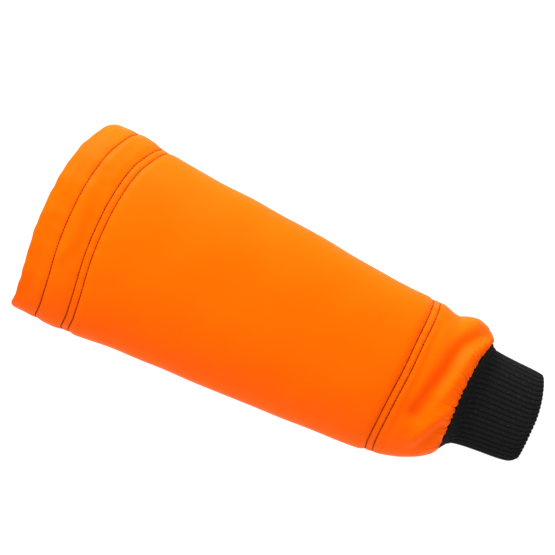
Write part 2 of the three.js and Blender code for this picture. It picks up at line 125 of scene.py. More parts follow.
# Folds: depth, width and path in plan; a negative depth is a valley
WRIST_FOLDS = {
    "main valley": (-5.6, 8.0, [(170, 66), (163, 58), (156, 48), (151, 33), (149, 17), (145, 0),
                                (141, -17), (138, -31)]),
    "upper ridge": (2.0, 7.5, [(163, 40), (160, 18), (155, -6)]),
    "lower ridge": (2.6, 6.5, [(168, -14), (158, -34), (147, -56)]),
    "lower hollow": (-2.4, 6.0, [(166, -32), (159, -46), (152, -62)]),
    "step after the rows": (-1.0, 5.0, [(125, 60), (126, 0), (124, -70)]),
}
HEM_FOLDS = {
    "casing ridge": (1.1, 6.0, [(-223, 36), (-219, 14), (-215, -12), (-220, -34)]),
    "casing hollow": (-0.9, 6.0, [(-209, 40), (-206, 8), (-206, -30)]),
    "edge hollow": (-1.3, 7.0, [(-240, -8), (-236, -50), (-236, -76)]),
    "edge swell": (0.9, 8.0, [(-243, 60), (-243, 24)]),
    "corner swell": (1.1, 7.0, [(-217, 62), (-212, 84)]),
}
FOLD_TOP_START, FOLD_TOP_FULL = 0.28, 0.62
SIDE_START, SIDE_FULL = 0.26, 0.42

# Cord routes under the hem, in millimetres; both strands leave their eyelets alike
CORD_START = [
    (-241, 34, 17.2), (-241, 33.7, 14.2), (-241, 32.3, 11), (-241, 29.9, 8), (-241, 26.7, 5.2),
    (-241, 22.8, 2.9),
]
DRAWCORD_LEFT = [
    *CORD_START,
    (-240.8, 18.2, 1.7), (-240.2, 13.4, 1.7), (-238.4, 8.7, 2.8), (-235.8, 4.2, 4.7),
    (-232.6, 1.4, 6.4), (-229, 0.55, 7.4), (-224, 0.55, 7.5), (-218.6, 0.55, 7.5),
    (-213.6, 0.7, 7.3), (-208.8, 2.4, 5.8), (-204.2, 5.6, 3.6), (-200.2, 9.3, 2),
    (-196, 12.2, 1.5), (-191, 13.2, 1.5), (-186.4, 11.4, 1.5), (-184.2, 7.4, 2), (-185, 3.6, 3),
    (-186.5, 0.6, 3.9),
]
DRAWCORD_RIGHT = [
    *((x, -y, z) for x, y, z in CORD_START),
    (-240.8, -18.4, 1.7), (-240.2, -13.9, 1.7), (-238.5, -9.8, 2.8), (-235.8, -6.4, 4.7),
    (-232.4, -4, 6.4), (-228.6, -2.75, 7.4), (-224, -2.55, 7.5), (-218.6, -2.55, 7.5),
    (-213.6, -2.6, 7.3), (-208.8, -2.7, 6.1), (-204.4, -2.9, 4.8), (-200, -3, 4.2),
    (-196, -3, 4.1), (-193.4, -3, 4.2),
]
TAIL_LEFT = [
    (-184.6, -3.6, 3.6), (-181, -4.6, 2.2), (-176.5, -6.4, 1.5), (-171.8, -8.6, 1.5),
    (-167.6, -11, 1.5),
]
TAIL_RIGHT = [
    (-187.3, -7, 3.3), (-185.4, -10, 2), (-181.6, -13.4, 1.5), (-177, -16, 1.5),
    (-172.4, -17.6, 1.5),
]
KNOT_CENTRE = (-189, -3, 4.2)
CORD_DIAMETER = 2.8

# Eyelets, tab and cord lock under the hem, in millimetres
EYELET_PLACE, EYELET_STRAIGHT, EYELET_RADIUS, EYELET_STITCHES = (-241, 34, 17.15), 10, 2.4, 58
TAB_WIDTH, TAB_LAYER, TAB_BEND, TAB_FOLD, TAB_SEWN_X = 10, 1.0, 2.8, (-247.7, 18.9), -239.5
LOCK_PLACE, LOCK_RADIUS, LOCK_WALL, LOCK_FLOOR, LOCK_GAP = (-221.1, 7.5), 7.5, 1.9, 1.8, 0.3
LOCK_CLOSED_END, LOCK_OPEN_END = -11.3, 7.2
LOCK_SLOT, LOCK_SLOT_HEIGHT = (-7.25, 2.25), 3.6
BUTTON_TRAVEL, BUTTON_REACH, BUTTON_INNER_END = 3, 11.3, -6.2
BAR_PLACE, BAR_RADIUS, BAR_CLEAR, BAR_LUG = (-229.8, 14), 1.5, 5.4, 1.8
# How far a stitch's middle lies over the cloth, and over the floor at least
THREAD_RISE, THREAD_LOWEST = 0.12, 0.36

# Soft lights: place, size and power
LIGHTS = {
    "top_softbox": ((-1.28, 1.56, 1.0), 1.4, 116),
    "low_fill": ((0.4, -1.8, 0.75), 2.0, 31),
    "far_fill": ((1.1, 1.5, 1.0), 1.4, 13),
}


# Settings

def colour_setting(name, description, default):
    return bpy.props.FloatVectorProperty(
        name=name, description=description, subtype="COLOR", size=3, min=0, max=1, default=default)


def count_setting(name, description, default, low, high):
    return bpy.props.IntProperty(
        name=name, description=description, default=default, min=low, max=high)


def size_setting(name, description, default, low, high):
    """A length, given in millimetres."""
    return bpy.props.FloatProperty(
        name=name, description=description, default=default * MM, min=low * MM, max=high * MM,
        unit="LENGTH")


class FinishSettings(bpy.types.PropertyGroup):
    """Colours of the cloth, the knit and the trim."""
    polyester: colour_setting("Polyester", "Woven sleeve", (0.95, 0.108, 0.0002))
    # the deeper polyester colour is partly the cloth's own uneven tone and partly painted shade in
    # the fold valleys and along the stitch rows
    polyester_deep_and_shade: colour_setting(
        "Polyester in folds", "Deeper colour in valleys and along seams", (0.9, 0.086, 0.0001))
    thread: colour_setting("Topstitch thread", "Dark thread on the sleeve", (0.014, 0.0035, 0.002))
    knit: colour_setting("Knit", "Rib-knit cuff", (0.0055, 0.0055, 0.0057))
    trim: colour_setting("Black trim", "Cord, tab and eyelets", (0.008, 0.0075, 0.0075))
    plastic: colour_setting("Lock plastic", "Moulded cord lock", (0.009, 0.009, 0.0095))


class SleeveSettings(bpy.types.PropertyGroup):
    """How finely the sleeve is made, and how deep its relief is."""
    around: count_setting("Points around", "Points round the sleeve", 432, 72, 480)
    row_dip: bpy.props.FloatProperty(
        name="Stitch row dip", description="How strongly the stitch rows press the padding in",
        default=1.0, min=0, max=3, subtype="FACTOR")
    hem_gathers: count_setting("Hem gathers", "Soft ripples round the hem", 18, 0, 60)
    hem_wave: size_setting("Hem wave", "Height of the hem's ripples", 0.9, 0, 4)
    puckers: count_setting("Wrist puckers", "Short puckers at the cuff seam", 46, 0, 90)


class StitchSettings(bpy.types.PropertyGroup):
    """Topstitching."""
    pitch: size_setting("Stitch pitch", "Distance from one stitch to the next", 3.1, 1, 8)
    length: size_setting("Stitch length", "Length of the thread that shows", 3.0, 0.5, 8)
    thread: size_setting("Thread", "Diameter of the thread", 0.74, 0.1, 2)


class CuffSettings(bpy.types.PropertyGroup):
    """Rib-knit cuff."""
    ribs: count_setting("Ribs", "Ribs round the cuff", 46, 10, 90)
    rib_depth: size_setting("Rib depth", "Height of a rib over its groove", 1.0, 0, 4)
    wall: size_setting("Knit thickness", "Thickness of the doubled knit", 3.2, 1, 8)


class StageSettings(bpy.types.PropertyGroup):
    """Camera."""
    camera_height: size_setting("Camera height", "Camera over the floor", 1150, 500, 5000)
    field_width: size_setting("Field width", "Width of floor in the picture", 542.1, 100, 3000)
    roll: bpy.props.FloatProperty(
        name="Camera roll", description="Turn of the camera about its line of sight",
        default=math.radians(24.5), subtype="ANGLE")
    centre: bpy.props.FloatVectorProperty(
        name="Picture centre", description="Point of the floor in the middle of the picture",
        size=2, default=(-0.0304, 0.0305), subtype="XYZ", unit="LENGTH")


# Shader maths

class Value:
    """A socket of a node, with arithmetic that adds Math nodes."""

    def __init__(self, maker, socket):
        self.maker = maker
        self.socket = socket

    def _math(self, operation, *inputs):
        return self.maker.node("ShaderNodeMath", {"operation": operation}, inputs)

    def __add__(self, other):
        return self._math("ADD", self, other)

    __radd__ = __add__

    def __sub__(self, other):
        return self._math("SUBTRACT", self, other)

    def __rsub__(self, other):
        return self._math("SUBTRACT", other, self)

    def __mul__(self, other):
        return self._math("MULTIPLY", self, other)

    __rmul__ = __mul__

    def sine(self):
        return self._math("SINE", self)

    def fraction(self):
        return self._math("FRACT", self)

    def absolute(self):
        return self._math("ABSOLUTE", self)

    def at_most(self, other):
        return self._math("MINIMUM", self, other)

    def at_least(self, other):
        return self._math("MAXIMUM", self, other)


class Finish:
    """A material under construction: one Principled shader and the nodes before it."""

    def __init__(self, name):
        self.material = bpy.data.materials.new(name)
        self.material.use_nodes = True
        self.tree = self.material.node_tree
        self.tree.nodes.clear()
        output = self.tree.nodes.new("ShaderNodeOutputMaterial")
        self.shader = self.tree.nodes.new("ShaderNodeBsdfPrincipled")
        self.tree.links.new(self.shader.outputs[0], output.inputs["Surface"])

    def set(self, **constants):
        """Sets the shader's own sockets, named with underlines for spaces."""
        for socket, value in constants.items():
            self.shader.inputs[socket.replace("_", " ")].default_value = value

    def node(self, kind, settings, inputs, output=0):
        """Adds a node, sets it up, feeds its inputs by position or name and returns an output."""
        made = self.tree.nodes.new(kind)
        for name, value in settings.items():
            if name == "stops":
                self._stops(made.color_ramp, value)
            else:
                setattr(made, name, value)
        pairs = inputs.items() if isinstance(inputs, dict) else enumerate(inputs)
        for key, value in pairs:
            if isinstance(value, Value):
                self.tree.links.new(value.socket, made.inputs[key])
            elif value is not None:
                made.inputs[key].default_value = value
        return Value(self, made.outputs[output])

    def _stops(self, ramp, stops):
        while len(ramp.elements) < len(stops):
            ramp.elements.new(0.5)
        for element, (place, level) in zip(ramp.elements, stops):
            element.position = place
            element.color = (level, level, level, 1)

    def attribute(self, name):
        return self.node("ShaderNodeAttribute", {"attribute_name": name}, (), "Fac")

    def uv(self):
        """The piece's UV map, whole and as its two directions."""
        whole = self.node("ShaderNodeTexCoord", {}, (), "UV")
        return whole, *(self.node("ShaderNodeSeparateXYZ", {}, (whole,), k) for k in (0, 1))

    def place(self):
        return self.node("ShaderNodeTexCoord", {}, (), "Object")

    def stretched(self, vector, scale):
        return self.node("ShaderNodeMapping", {}, {"Vector": vector, "Scale": scale})

    def noise(self, vector, scale, detail=2.0, roughness=0.5):
        inputs = {"Vector": vector, "Scale": scale, "Detail": detail, "Roughness": roughness}
        return self.node("ShaderNodeTexNoise", {}, inputs)

    def blend(self, low, high, amount):
        """Colour between two colours by an amount from 0 to 1."""
        low, high = (c if isinstance(c, Value) else (*c, 1) for c in (low, high))
        return self.node("ShaderNodeMix", {"data_type": "RGBA"}, {0: amount, 6: low, 7: high}, 2)

    def bump(self, height, depth, normal=None):
        """Normal from a height of 0 to 1 that stands for a depth in metres."""
        inputs = {"Strength": 1.0, "Distance": depth, "Height": height}
        if normal is not None:
            inputs["Normal"] = normal
        return self.node("ShaderNodeBump", {}, inputs)

    def feed(self, socket, value):
        self.tree.links.new(value.socket, self.shader.inputs[socket])


def tinted(colour, factor, lift=0.0):
    return tuple(c * factor + lift for c in colour)


def polyester_finish(f, colours):
    """Satin woven polyester with an uneven tone, and painted shade in the fold valleys and along the
    stitch rows and back seam.
    """
    f.set(Sheen_Weight=0.005, Sheen_Roughness=0.4, Sheen_Tint=(1.0, 0.6, 0.35, 1),
          Specular_IOR_Level=0.05, Specular_Tint=(1.0, 0.55, 0.3, 1))
    uv, u, v = f.uv()
    cloud = f.noise(uv, 22.0, 3.0, 0.55)
    slub = f.noise(f.stretched(uv, (1.0, 7.0, 1.0)), 260.0, 2.0)
    warp = (u * (TAU / (0.55 * MM))).sine()
    weft = (v * (TAU / (0.48 * MM))).sine()
    weave = warp * weft * 0.5 + 0.5
    # painted shade: the valley term darkens the fold valleys; cloud, slub and weave give the cloth's
    # own uneven tone
    tone_and_shade = (f.attribute("valley") * 0.8 + (cloud - 0.5) * 0.6 + (slub - 0.5) * 0.5
            + (weave - 0.5) * 0.15 + 0.1)
    tone_and_shade = tone_and_shade.at_least(0.0).at_most(1.0)
    cloth = f.blend(colours.polyester, colours.polyester_deep_and_shade, tone_and_shade)
    # painted shade along the stitch rows and the back seam, for thread shadows and needle holes
    shade = tinted(colours.polyester_deep_and_shade, 0.4)
    f.feed("Base Color", f.blend(cloth, shade, f.attribute("pressed") * 0.5))
    f.feed("Roughness", 0.4 + cloud * 0.08 + slub * 0.06)
    rumple = f.bump(f.noise(uv, 45.0, 4.0, 0.55), 0.45 * MM)
    f.feed("Normal", f.bump(weave * 0.6 + slub * 0.4, 0.05 * MM, rumple))


def thread_finish(f, colours, key, fuzz_depth):
    """Spun thread: fine slanting plies under a little fuzz."""
    f.set(Roughness=0.75, Sheen_Weight=0.02, Specular_IOR_Level=0.08)
    colour = getattr(colours, key)
    place = f.place()
    fuzz = f.noise(place, 2600.0, 2.0)
    plies = f.noise(f.stretched(place, (1.0, 0.35, 1.0)), 1400.0, 1.0)
    tone = (fuzz * 0.5 + plies * 0.5).at_most(1.0)
    f.feed("Base Color", f.blend(colour, tinted(colour, 2, 0.001), tone))
    f.feed("Normal", f.bump(fuzz * 0.4 + plies * 0.6, fuzz_depth * MM))


def knit_finish(f, colours):
    """Matt rib knit: columns of small slanting loops, with painted shade in the grooves between ribs.
    """
    f.set(Sheen_Weight=0.01, Sheen_Roughness=0.5, Sheen_Tint=(0.85, 0.85, 0.9, 1),
          Specular_IOR_Level=0.06)
    uv, u, v = f.uv()
    columns = (u * (TAU / (1.0 * MM))).sine()
    slant = (v * (TAU / (1.15 * MM)) + columns.absolute() * 2.2).sine()
    loops = slant * 0.35 + columns * 0.15 + 0.5
    fuzz = f.noise(uv, 1100.0, 3.0, 0.6)
    wear = f.noise(uv, 70.0, 3.0, 0.6)
    # painted shade: the groove term darkens the grooves between ribs; loops, fuzz and wear give the
    # knit's own tone
    tone = loops * 0.25 + fuzz * 0.3 + wear * 0.25 + (1 - f.attribute("groove")) * 0.35 - 0.1
    tone = tone.at_least(0.0).at_most(1.0)
    knit = f.blend(tinted(colours.knit, 0.45), tinted(colours.knit, 1.9, 0.001), tone)
    specks = f.noise(uv, 620.0, 1.0)
    lint = f.node("ShaderNodeValToRGB", {"stops": ((0.69, 0), (0.74, 1))}, (specks,))
    f.feed("Base Color", f.blend(knit, tinted(colours.knit, 9), lint))
    f.feed("Roughness", 0.8 + fuzz * 0.15)
    f.feed("Normal", f.bump(loops * 0.75 + fuzz * 0.25, 0.3 * MM))


def webbing_finish(f, colours):
    """Woven tape: a herringbone of ribs across the band."""
    f.set(Roughness=0.7, Sheen_Weight=0.1, Specular_IOR_Level=0.25)
    uv, u, v = f.uv()
    chevron = ((u * (1 / (2.5 * MM))).fraction() - 0.5).absolute()
    rib = (v * (TAU / (1.1 * MM)) + chevron * 7.0).sine() * 0.5 + 0.5
    fuzz = f.noise(uv, 1500.0, 2.0)
    tone = (rib * 0.5 + fuzz * 0.4).at_most(1.0)
    f.feed("Base Color", f.blend(tinted(colours.trim, 0.7), tinted(colours.trim, 2, 0.002), tone))
    f.feed("Normal", f.bump(rib * 0.8 + fuzz * 0.2, 0.2 * MM))


def braid_finish(f, colours):
    """Braided cover of the elastic cord: two sets of strands that cross."""
    f.set(Roughness=0.62, Sheen_Weight=0.05, Specular_IOR_Level=0.2)
    _, u, v = f.uv()
    turn = u * (TAU * 4)
    along = v * (TAU / (2.2 * MM))
    braid = (turn + along).sine().absolute().at_least((turn - along).sine().absolute())
    fuzz = f.noise(f.place(), 2200.0, 2.0)
    tone = (braid * 0.65 + fuzz * 0.3).at_most(1.0)
    f.feed("Base Color", f.blend(tinted(colours.trim, 0.6), tinted(colours.trim, 2.4, 0.002), tone))
    f.feed("Normal", f.bump(braid * 0.85 + fuzz * 0.15, 0.22 * MM))


def plastic_finish(f, colours):
    """Moulded plastic with a fine spark-eroded grain and light scuffs."""
    f.set(Specular_IOR_Level=0.5)
    place = f.place()
    grain = f.noise(place, 3200.0, 2.0, 0.6)
    scuff = f.noise(place, 260.0, 3.0, 0.6)
    f.feed("Base Color", f.blend(colours.plastic, tinted(colours.plastic, 1.8, 0.003), scuff))
    f.feed("Roughness", 0.3 + scuff * 0.25)
    f.feed("Normal", f.bump(grain, 0.025 * MM))


# Material slot, maker of the material and what the maker needs
FINISHES = {
    "satin_polyester": ("orange_polyester", polyester_finish),
    "dark_topstitch": ("stitching_thread", thread_finish, "thread", 0.1),
    "black_thread": ("stitching_thread", thread_finish, "trim", 0.12),
    "black_rib_knit": ("rib_knit", knit_finish),
    "black_webbing": ("webbing", webbing_finish),
    "black_braid": ("elastic_cord", braid_finish),
    "moulded_plastic": ("lock_plastic", plastic_finish),
}


def fit_piece(piece, finish, *nodes, body=BODY):
    """Gives a piece its material, the nodes it stands for and the body it moves with."""
    slot, maker, *rest = FINISHES[finish]
    material = bpy.data.materials.get(finish)
    if not material:
        made = Finish(finish)
        maker(made, bpy.context.scene.finish_settings, *rest)
        material = made.material
    piece.data.materials.clear()
    piece.data.materials.append(material)
    if nodes:
        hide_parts(*nodes)
    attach(piece, body)


# Form of the sleeve, in millimetres, as functions of station and share round the section

def hermite(u, low, high, start, end):
    """Smooth run from low to high, with the rise over the whole step at its start and its end."""
    return ((2 * u ** 3 - 3 * u ** 2 + 1) * low + (u ** 3 - 2 * u ** 2 + u) * start
            + (3 * u ** 2 - 2 * u ** 3) * high + (u ** 3 - u ** 2) * end)


def look_up(rows, column, x):
    """Value of a table's column at x, with a smooth run that never overshoots its rows."""
    xs, ys = rows["x"], rows[column]
    steps = np.diff(ys) / np.diff(xs)
    product = steps[:-1] * steps[1:]
    total = np.where(product > 0, steps[:-1] + steps[1:], 1.0)
    slopes = np.zeros_like(ys)
    slopes[1:-1] = np.where(product > 0, 2 * product / total, 0.0)
    x = np.clip(x, xs[0], xs[-1])
    i = np.clip(np.searchsorted(xs, x, side="right") - 1, 0, len(xs) - 2)
    h = xs[i + 1] - xs[i]
    return hermite((x - xs[i]) / h, ys[i], ys[i + 1], h * slopes[i], h * slopes[i + 1])


def smooth_step(low, high, value):
    u = np.clip((value - low) / (high - low), 0, 1)
    return u * u * (3 - 2 * u)


def unit(vectors):
    return vectors / np.linalg.norm(vectors, axis=-1, keepdims=True)


def run_along(points):
    """Distance along a line to each of its points."""
    return np.concatenate([[0], np.cumsum(np.linalg.norm(np.diff(points, axis=0), axis=1))])


def points_at(places, run, points):
    """Points of a line at some distances along it."""
    return np.stack([np.interp(places, run, column) for column in points.T], axis=1)


def row_lag(x, w):
    """Lag of a row of the cloth at station x and width w."""
    hem = look_up(LAG_SHARE, "hem", x) * look_up(ROW_LAG, "hem", w)
    wrist = look_up(LAG_SHARE, "wrist", x) * look_up(ROW_LAG, "wrist", w)
    cuff = np.where(w > 0, look_up(CUFF_LAG, "far", x), look_up(CUFF_LAG, "near", x))
    return hem + wrist + cuff * w * w


def profile(x):
    """Dense bare section at station x, from the back seam under the sleeve, far side first."""
    angle = -math.pi / 2 + TAU * np.arange(PROFILE_SAMPLES + 1) / PROFILE_SAMPLES
    c, s = np.cos(angle), np.sin(angle)
    upper = s >= 0
    w = np.sign(c) * np.abs(c) ** np.where(upper, UPPER_POWER_Y, LOWER_POWER)
    top = look_up(TOP, "z", x)
    widest = WIDEST_SHARE * top
    place = x + row_lag(x, w)
    far, near = look_up(OUTLINE, "far", place), look_up(OUTLINE, "near", place)
    y = (far - near) / 2 + (far + near) / 2 * w
    above = widest + (top - widest) * np.maximum(s, 0) ** UPPER_POWER_Z
    rounded = widest * (1 - np.maximum(-s, 0) ** LOWER_POWER)
    sole = np.maximum(0, rounded - SOLE_FLATTENING * s * s)
    held = 1 - sole / widest
    lift = look_up(LIFT, "z", x) * (1 - smooth_step(LIFT_FLAT_Y, LIFT_END_Y, np.abs(y)))
    setback = LOWER_LIP_SETBACK * held * (1 - smooth_step(0, LOWER_LIP_FADE, x - HEM_X))
    z = np.where(upper, above, sole + lift * held)
    return np.stack([place + np.where(upper, 0, setback), y, z], axis=1)


def ring_at(x, shares):
    """Bare section points at station x and at shares of the way round, evenly by length."""
    dense = profile(x)
    run = run_along(dense[:, 1:])
    taken = np.asarray(shares(run[-1]) if callable(shares) else shares)
    return points_at((taken % 1.0) * run[-1], run, dense), taken, run[-1]


def outward(grid):
    """Outward direction of each point of a grid of rings, in the plane across the sleeve."""
    turn = np.roll(grid, -1, axis=1) - np.roll(grid, 1, axis=1)
    return unit(np.stack([turn[..., 0] * 0, turn[..., 2], -turn[..., 1]], axis=-1))


def distance_to_path(path, x, y):
    best = np.full(x.shape, 1e9)
    for (ax, ay), (bx, by) in zip(path, path[1:]):
        along = ((x - ax) * (bx - ax) + (y - ay) * (by - ay)) / ((bx - ax) ** 2 + (by - ay) ** 2)
        u = np.clip(along, 0, 1)
        best = np.minimum(best, np.hypot(x - ax - u * (bx - ax), y - ay - u * (by - ay)))
    return best


def waves(share, station, seed, count, most):
    """Soft seeded unevenness from -1 to 1 that closes round the sleeve."""
    draw = np.random.default_rng(seed)
    total = np.zeros(np.broadcast(share, station).shape)
    for _ in range(count):
        turns = draw.integers(1, most)
        length = draw.uniform(35, 110)
        phase = draw.uniform(0, TAU, 2)
        total += np.sin(TAU * turns * share + phase[0] + station / length * 2) * np.cos(
            station / length * 3 + phase[1])
    return total / math.sqrt(count)


def folds_shift(folds, grid):
    x, y = grid[..., 0], grid[..., 1]
    return sum(depth * np.exp(-(distance_to_path(path, x, y) / width) ** 2)
               for depth, width, path in folds.values())


def fold_shift(grid, station, high):
    """Folds of the thin wrist part and of the hem, which die out towards the padding."""
    calm = smooth_step(0, 9, station - WRIST_ROWS_X[1]) * smooth_step(0, 8, SEAM_X + 3 - station)
    hem = folds_shift(HEM_FOLDS, grid) * smooth_step(0, 8, HEM_ROWS_X[0] - station)
    return (folds_shift(WRIST_FOLDS, grid) * calm + hem) * high


def from_back_seam(share, lengths):
    """Distance round the sleeve from the middle of its back."""
    return ((share + 0.5) % 1 - 0.5) * lengths[:, None]


def sleeve_relief(grid, station, share, lengths):
    """Relief of the outer cloth over its bare form."""
    settings = bpy.context.scene.sleeve_settings
    height = grid[..., 2] / look_up(TOP, "z", station)
    side = smooth_step(SIDE_START, SIDE_FULL, height)
    shift = fold_shift(grid, station, smooth_step(FOLD_TOP_START, FOLD_TOP_FULL, height))
    ripple = np.zeros(station.shape)
    still = station * 0
    for i, (row, dip, breadth) in enumerate(zip(ROWS["x"], ROWS["dip"], ROWS["breadth"])):
        away = station - row
        shift -= side * dip * settings.row_dip * np.exp(-(away / breadth) ** 2)
        shift -= (0.3 + 0.25 * side) * np.exp(-(away / 0.9) ** 2)
        ripple += 0.3 * np.exp(-np.abs(away) / 6) * waves(share * 5, still, 40 + i, 6, 9)
        ripple += 0.16 * np.exp(-np.abs(away) / 3) * waves(share * 13, still, 60 + i, 6, 9)
    shift += hem_wave(share, station) * side
    shift += seam_pucker(share, station) * (0.3 + 0.7 * side)
    shift += side * (ripple + 0.5 * waves(share, station, 3, 7, 6))
    across = from_back_seam(share, lengths)
    back = 0.9 * np.exp(-(across / 1.3) ** 2)
    back += 0.75 * np.exp(-((np.abs(across) - BACK_ROW_OFFSET) / 1.5) ** 2)
    return shift - back


def hem_wave(share, station):
    """Uneven ripple of the stitched hem, from its edge inwards."""
    settings = bpy.context.scene.sleeve_settings
    ripple = waves(share * settings.hem_gathers / 6, station * 0, 51, 5, 8)
    return settings.hem_wave / MM * np.exp(-(station - HEM_X) / 9) * ripple


def seam_pucker(share, station):
    """Rounded little pillows between the sharp puckers that the cuff seam draws in."""
    settings = bpy.context.scene.sleeve_settings
    still = station * 0
    phase = math.pi * settings.puckers * share + 1.5 * waves(share * 3, still, 7, 4, 9)
    reach = np.clip(5.5 + 2.6 * waves(share * 7, still, 8, 5, 9), 2.5, 11)
    depth = np.clip(1.15 + 0.75 * waves(share * 9, still, 9, 5, 9), 0.3, 2.3)
    return depth * (1.9 * np.abs(np.sin(phase)) - 1.25) * np.exp(-(SEAM_X - station) / reach)


def station_list(gaps):
    """Stations from runs of (start, end, number of steps)."""
    made = [np.linspace(start, end, steps, endpoint=False) for start, end, steps in gaps]
    return np.concatenate([*made, [gaps[-1][1]]])


def smooth_piece(name, points, faces):
    """New piece with smooth faces, from points in metres."""
    mesh = bpy.data.meshes.new(name)
    mesh.from_pydata(points.tolist(), [], faces)
    mesh.polygons.foreach_set("use_smooth", np.ones(len(faces), bool))
    mesh.update()
    piece = bpy.data.objects.new(name, mesh)
    bpy.context.collection.objects.link(piece)
    return piece


def ring_faces(gaps, rows, count):
    """Faces between rings of points, over a number of gaps from one ring to the next."""
    r, c = np.meshgrid(np.arange(gaps), np.arange(count), indexing="ij")
    below, right = (r + 1) % rows, (c + 1) % count
    faces = [r * count + c, r * count + right, below * count + right, below * count + c]
    return np.stack(faces, -1).reshape(-1, 4).tolist()


def set_uv(piece, u, v, caps=()):
    """UV map of the faces between rings, from each ring's points and its first point once more."""
    p = np.stack(np.broadcast_arrays(u, v), -1)
    corners = np.stack([p[:-1, :-1], p[:-1, 1:], p[1:, 1:], p[1:, :-1]], axis=2)
    layer = piece.data.uv_layers.new(name="UVMap")
    layer.data.foreach_set("uv", np.append(corners, caps).astype(np.float32))


def loop_mesh(name, grid, u, v):
    """Closed skin through rings that lead from one to the next and back to the first."""
    rows, count = grid.shape[:2]
    piece = smooth_piece(name, grid.reshape(-1, 3) * MM, ring_faces(rows, rows, count))
    u = np.concatenate([u, 2 * u[:, -1:] - u[:, -2:-1]], axis=1)
    v = np.concatenate([v, v[:, :1]], axis=1)
    set_uv(piece, np.append(u, u[-1:], axis=0) * MM, np.append(v, v[-1:], axis=0) * MM)
    return piece


def point_value(piece, key, values):
    """Gives each point of a piece a value that its material reads."""
    attribute = piece.data.attributes.new(key, "FLOAT", "POINT")
    attribute.data.foreach_set("value", values.reshape(-1).astype(np.float32))


def even_shares(count):
    return np.arange(count) / count


def bare_grid(stations, shares):
    """Grid of bare points, with each point's station and share and each ring's length."""
    rings, taken, lengths = zip(*(ring_at(x, shares) for x in stations))
    share = np.stack(taken)
    station = np.repeat(np.asarray(stations, float)[:, None], share.shape[1], axis=1)
    return np.stack(rings), station, share, np.array(lengths)


def sleeve_points(stations, shares, inset):
    """Grid of the sleeve's cloth at some stations, moved in from the outer face by an inset."""
    grid, station, share, lengths = bare_grid(stations, shares)
    relief = sleeve_relief(grid, station, share, lengths)
    depth = np.asarray(inset, float)[:, None]
    moved = grid + outward(grid) * (relief - depth)[..., None]
    moved[..., 2] = np.maximum(moved[..., 2], np.where(depth == 0, 0, -1))
    moved[..., 0] += 0.6 * hem_wave(share * 1.7, station)
    moved[..., 0] += 0.45 * seam_pucker(share, station) * (np.abs(station - SEAM_X) < 6)
    return moved, station, share, lengths, relief


# Pieces

def soft_light(name, place, size, power):
    lamp = bpy.data.objects.new(name, bpy.data.lights.new(name, "AREA"))
    bpy.context.collection.objects.link(lamp)
    lamp.data.shape = "SQUARE"
    lamp.data.size = size
    lamp.data.energy = power
    lamp.location = place
    lamp.rotation_euler = (-Vector(place)).to_track_quat("-Z", "Y").to_euler()


class OVERSLEEVE_OT_stage(bpy.types.Operator):
    """Makes the floor, the soft light and the camera over the lying sleeve."""
    bl_idname = "oversleeve.stage"
    bl_label = "Stage"

    def execute(self, context):
        settings = context.scene.stage_settings
        bpy.ops.object.select_all(action="DESELECT")
        bpy.ops.mesh.primitive_plane_add(size=12, location=(0, 0, -0.0005))
        floor = context.object
        floor.name = "floor"
        pale = Finish("pale_floor")
        pale.set(Base_Color=(0.25, 0.25, 0.25, 1), Roughness=0.9, Specular_IOR_Level=0.1,
                 Emission_Color=(1, 1, 1, 1), Emission_Strength=0.9)
        floor.data.materials.append(pale.material)
        for light, (place, size, power) in LIGHTS.items():
            soft_light(light, place, size, power)
        world = context.scene.world or bpy.data.worlds.new("studio")
        context.scene.world = world
        world.use_nodes = True
        background = world.node_tree.nodes["Background"]
        background.inputs["Color"].default_value = (1, 1, 1, 1)
        background.inputs["Strength"].default_value = 0.4
        context.scene.view_settings.view_transform = "Standard"
        camera = bpy.data.objects.new("camera", bpy.data.cameras.new("camera"))
        context.collection.objects.link(camera)
        camera.location = (*settings.centre, settings.camera_height)
        camera.rotation_euler = (0, 0, settings.roll)
        camera.data.sensor_width = 36
        camera.data.lens = 36 * settings.camera_height / settings.field_width
        camera.data.clip_end = 50
        context.scene.camera = camera
        return {"FINISHED"}


